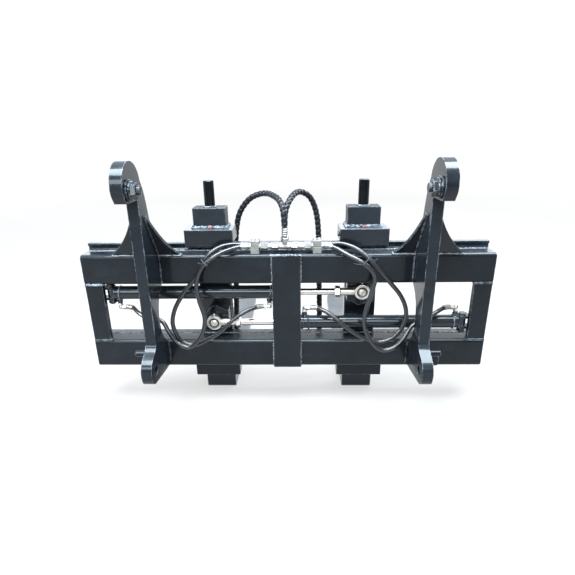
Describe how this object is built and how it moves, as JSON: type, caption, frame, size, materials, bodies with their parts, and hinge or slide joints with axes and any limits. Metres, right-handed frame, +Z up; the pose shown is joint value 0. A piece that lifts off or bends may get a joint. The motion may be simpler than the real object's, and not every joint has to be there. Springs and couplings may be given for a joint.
{
  "type": "hydraulic fork positioner with pallet forks",
  "caption": "Black wheel-loader carriage with hook-on ears and two pallet forks slid sideways by crossed hydraulic cylinders, with hoses and clamps.",
  "frame": {"origin": "middle of the footprint of everything but the hoses, on the ground under the fork blades", "axes": "+X along the carriage to the right as the loader's driver sees it, +Y forward along the forks, +Z up"},
  "size_m": [1.6, 1.493, 1.0189],
  "materials": {
    "black_paint": "gloss",
    "rod_chrome": "polished",
    "zinc_plate": "bright zinc",
    "clamp_alloy": "cast, satin",
    "hose_rubber": "satin"
  },
  "bodies": {
    "carriage": {"top_beam": "black_paint", "bottom_beam": "black_paint", "left_upright": "black_paint", "right_upright": "black_paint", "centre_plate": "black_paint", "upper_rail": "black_paint", "lower_rail": "black_paint", "left_ear": "black_paint", "left_outer_gusset": "black_paint", "left_inner_gusset": "black_paint", "left_hitch_washer": "black_paint", "left_foot_stub": "black_paint", "left_hitch_bolt": "zinc_plate", "left_hitch_nut": "zinc_plate", "left_clamp": "clamp_alloy", "left_supply_hose": "hose_rubber", "left_supply_coupler": "zinc_plate", "right_ear": "black_paint", "right_outer_gusset": "black_paint", "right_inner_gusset": "black_paint", "right_hitch_washer": "black_paint", "right_foot_stub": "black_paint", "right_hitch_bolt": "zinc_plate", "right_hitch_nut": "zinc_plate", "right_clamp": "clamp_alloy", "right_supply_hose": "hose_rubber", "right_supply_coupler": "zinc_plate", "upper_barrel": "black_paint", "upper_base_bracket": "black_paint", "upper_base_bolt": "zinc_plate", "upper_base_hose": "hose_rubber", "upper_rod_end_hose": "hose_rubber", "lower_barrel": "black_paint", "lower_base_bracket": "black_paint", "lower_base_bolt": "zinc_plate", "lower_base_hose": "hose_rubber", "lower_rod_end_hose": "hose_rubber", "front_line": "zinc_plate", "rear_line": "zinc_plate"},
    "left_fork_unit": {"left_fork": "black_paint", "left_top_hook": "black_paint", "left_crown_block": "black_paint", "left_post": "black_paint", "left_bottom_hook": "black_paint", "left_rod_lug": "black_paint", "left_rod": "rod_chrome", "left_jam_nut": "zinc_plate", "left_rod_eye": "zinc_plate", "left_eye_pin": "zinc_plate"},
    "right_fork_unit": {"right_fork": "black_paint", "right_top_hook": "black_paint", "right_crown_block": "black_paint", "right_post": "black_paint", "right_bottom_hook": "black_paint", "right_rod_lug": "black_paint", "right_rod": "rod_chrome", "right_jam_nut": "zinc_plate", "right_rod_eye": "zinc_plate", "right_eye_pin": "zinc_plate"}
  },
  "joints": [
    {"name": "right_fork_slide", "type": "slide", "parent": "carriage", "child": "right_fork_unit", "axis": [1, 0, 0], "range_m": [-0.191, 0.339]},
    {"name": "left_fork_slide", "type": "slide", "parent": "carriage", "child": "left_fork_unit", "axis": [-1, 0, 0], "range_m": [-0.191, 0.339]}
  ],
  "couplings": [
    {"joint": "left_fork_slide", "follows": "right_fork_slide", "ratio": 1}
  ]
}
